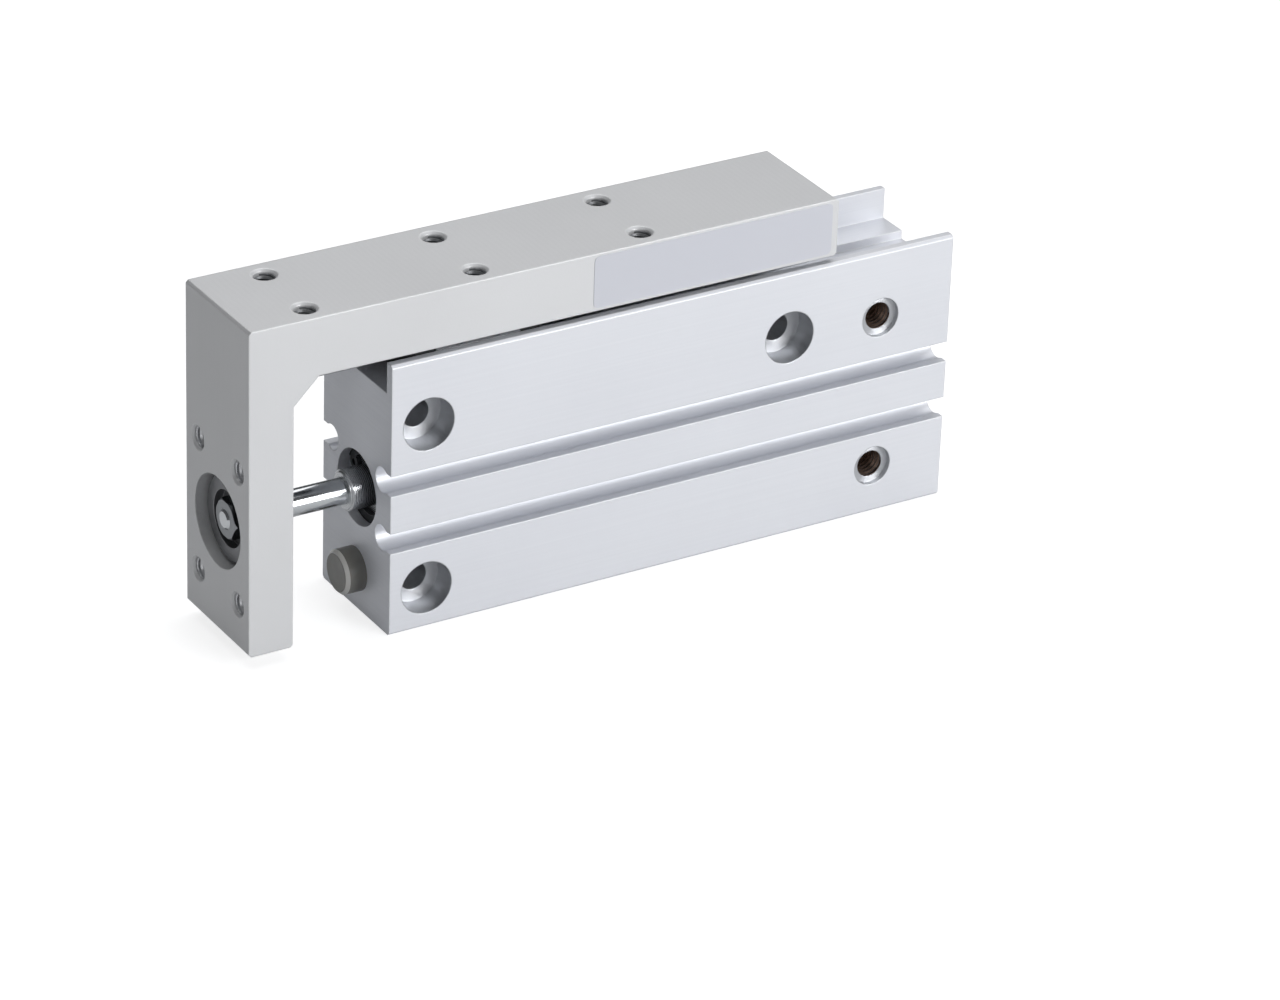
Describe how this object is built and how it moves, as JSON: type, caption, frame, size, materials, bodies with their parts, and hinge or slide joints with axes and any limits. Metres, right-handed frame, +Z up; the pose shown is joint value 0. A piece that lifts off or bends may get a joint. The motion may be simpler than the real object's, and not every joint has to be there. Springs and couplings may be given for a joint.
{
  "type": "guided pneumatic cylinder",
  "caption": "Compact air cylinder with an L-shaped table on a ball guide above a slotted rectangular body; the table slides with the piston rod.",
  "frame": {"origin": "middle of the footprint at the level of the body's underside, with the table 12 mm out of its drawn-in position", "axes": "+X along the stroke away from the end plate, +Y across from the port side to the far side, +Z up from the body to the table"},
  "size_m": [0.1162, 0.02, 0.053],
  "materials": {
    "anodised_body": "clear hard-anodised extrusion, fine satin",
    "anodised_table": "clear anodised, fine milled satin",
    "turned_aluminium": "turned, bare",
    "ground_rod": "ground and hard-chromed",
    "bearing_steel": "hardened and ground",
    "stainless_screw": "stainless, as headed",
    "plated_nut": "zinc plated",
    "blackened_steel": "black oxide",
    "phosphated_spring_steel": "manganese phosphate",
    "brass": "turned",
    "nitrile_rubber": "matt black",
    "urethane": "moulded, semi-matt",
    "acetal": "moulded, satin",
    "bonded_magnet": "bonded ferrite"
  },
  "bodies": {
    "cylinder": {"cylinder_body": "anodised_body", "rod_cover": "turned_aluminium", "rod_cover_o_ring": "nitrile_rubber", "rod_seal": "nitrile_rubber", "front_retaining_ring": "phosphated_spring_steel", "head_cover": "turned_aluminium", "head_cover_o_ring": "nitrile_rubber", "rear_retaining_ring": "phosphated_spring_steel", "end_bumper": "urethane", "port_orifices": "brass", "passage_plugs": "bearing_steel", "guide_block": "bearing_steel", "guide_end_caps": "acetal", "guide_end_seals": "nitrile_rubber", "guide_balls": "bearing_steel", "guide_return_balls": "bearing_steel", "guide_block_screws": "stainless_screw"},
    "slide": {"slide_table": "anodised_table", "guide_rail": "bearing_steel", "rail_screws": "stainless_screw", "rod_end_bush": "blackened_steel", "rod_end_washer": "stainless_screw", "rod_end_nut": "plated_nut", "piston_rod": "ground_rod", "piston_front": "turned_aluminium", "piston_rear": "turned_aluminium", "piston_seal": "nitrile_rubber", "piston_magnet": "bonded_magnet", "front_cushion": "urethane", "rear_cushion": "urethane"}
  },
  "joints": [
    {"name": "table_slide", "type": "slide", "parent": "cylinder", "child": "slide", "axis": [-1, 0, 0], "range_m": [-0.012, 0.048]}
  ]
}
